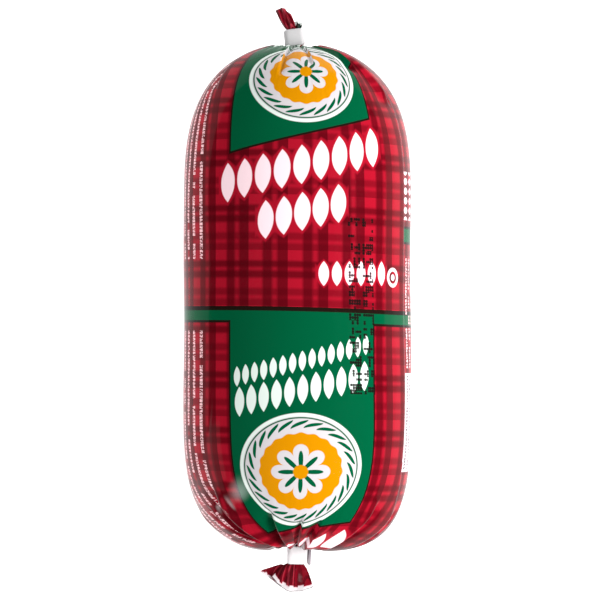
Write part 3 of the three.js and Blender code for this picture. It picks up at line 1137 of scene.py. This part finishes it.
# a low pale wall at the lower left, and a soft light above it, both seen in the gloss alone
wall = {"x": -0.95, "span": (-1.2, -0.09), "height": 0.20, "strength": 0.24}
glint = {"place": (-0.60, -0.33, 0.29), "size": (0.26, 0.46), "strength": 6.0}

# place, size, power, colour
lamps = {
    "keyLamp": ((0.63, -0.05, 0.54), 0.45, 11.3, (1.0, 0.99, 0.98)),
    "fillLamp": ((-0.50, -0.16, 0.58), 0.6, 2.0, (0.98, 0.99, 1.0)),
}
white = (1.0, 1.0, 1.0, 1.0)
black = (0.0, 0.0, 0.0, 1.0)


def aimFrom(place):
    return (Vector(studio["aim"]) - Vector(place)).to_track_quat("-Z", "Y").to_euler()


def plainFloor():
    floor = newPlane("floor", studio["floorSize"], studio["floorSize"], (0, 0, 0))
    material, shader = newMaterial("floorPaint", {
        "Base Color": studio["floorColor"], "Roughness": 0.9, "Specular IOR Level": 0.0,
        "Emission Color": white,
    })
    seen = addNode("LightPath", output="Is Camera Ray", tree=shader.id_data)
    extra = studio["floorGlow"] - studio["floorBounce"]
    feed(shader.inputs["Emission Strength"], seen * extra + studio["floorBounce"])
    floor.data.materials.append(material)
    floor.visible_glossy = False


def glowCard(name, *place, **more):
    # a card that is seen in the gloss alone
    card = newPlane(name + "Card", *place, **more)
    material, shader = newMaterial(name + "Glow", {
        "Base Color": black, "Specular IOR Level": 0.0, "Emission Color": white,
    })
    card.data.materials.append(material)
    for rays in ("camera", "diffuse", "shadow", "transmission"):
        setattr(card, "visible_" + rays, False)
    return shader.inputs["Emission Strength"]


def objectPlace(strength):
    return partsOf(addNode("TexCoord", output="Object", tree=strength.id_data))


def bounceCard():
    (x0, y0), (x1, y1) = bounce["low"], bounce["high"]
    middle = ((x0 + x1) / 2, (y0 + y1) / 2, bounce["height"])
    strength = glowCard("bounce", x1 - x0, y1 - y0, middle)
    x, y, _ = objectPlace(strength)
    steps = [((at - x0) / (x1 - x0), level) for at, level in bounce["steps"]]
    limit, level = bounce["corner"]
    far = calc("MAXIMUM", ramp((x - x0) / (x1 - x0), steps), (y < limit) * (x < 0.0) * level)
    gapX, gapY = (
        calc("MAXIMUM", abs(value) - half, 0.0) for value, half in zip((x, y), bounce["outline"])
    )
    fall = (gapX * gapX + gapY * gapY) / bounce["nearReach"] ** 2 + 1.0
    above = y > bounce["outline"][1] - 0.01
    near = above * (bounce["near"] * (bounce["nearAbove"] - 1.0)) + bounce["near"]
    glow = far + near / fall
    for centreX, centreY, reach, level in bounce["patches"]:
        aside, along = (x - centreX) / reach, (y - centreY) / reach
        glow = glow + calc("DIVIDE", level, aside * aside + along * along + 1.0)
    feed(strength, glow)


def wallCard():
    (low, high), tall = wall["span"], wall["height"]
    middle = (wall["x"], (low + high) / 2, tall / 2)
    strength = glowCard("wall", tall, high - low, middle, (0, math.radians(90), 0))
    strength.default_value = wall["strength"]


def glintCard():
    # the card keeps its place, so that its glow fades from its own middle
    place, size = glint["place"], glint["size"]
    strength = glowCard("glint", *size, place, aimFrom(place), placed=False)
    x, y = (value / (side / 2) for value, side in zip(objectPlace(strength), size))
    soft = calc("SUBTRACT", 1.0, x * x + y * y, clamp=True)
    feed(strength, soft ** 2.0 * glint["strength"])


def addLamp(name, place, size, power, color):
    nothingSelected()
    bpy.ops.object.light_add(type="AREA", location=place, rotation=aimFrom(place))
    lamp = bpy.context.object
    lamp.name = name
    lamp.data.size = size
    lamp.data.energy = power
    lamp.data.color = color
    lamp.visible_glossy = False
    lamp.visible_camera = False


plainFloor()
bounceCard()
wallCard()
glintCard()
for name, lamp in lamps.items():
    addLamp(name, *lamp)

world = bpy.data.worlds.new("studioAir")
bpy.context.scene.world = world
world.use_nodes = True
background = world.node_tree.nodes["Background"]
background.inputs["Color"].default_value = white
background.inputs["Strength"].default_value = studio["worldStrength"]
world.cycles_visibility.glossy = False

nothingSelected()
bpy.ops.object.camera_add(location=studio["cameraPlace"])
camera = bpy.context.object
camera.name = "camera"
camera.data.lens = studio["lens"]
camera.data.clip_start = 0.01
bpy.context.scene.camera = camera
bpy.context.scene.view_settings.view_transform = "Standard"
print("stage done")
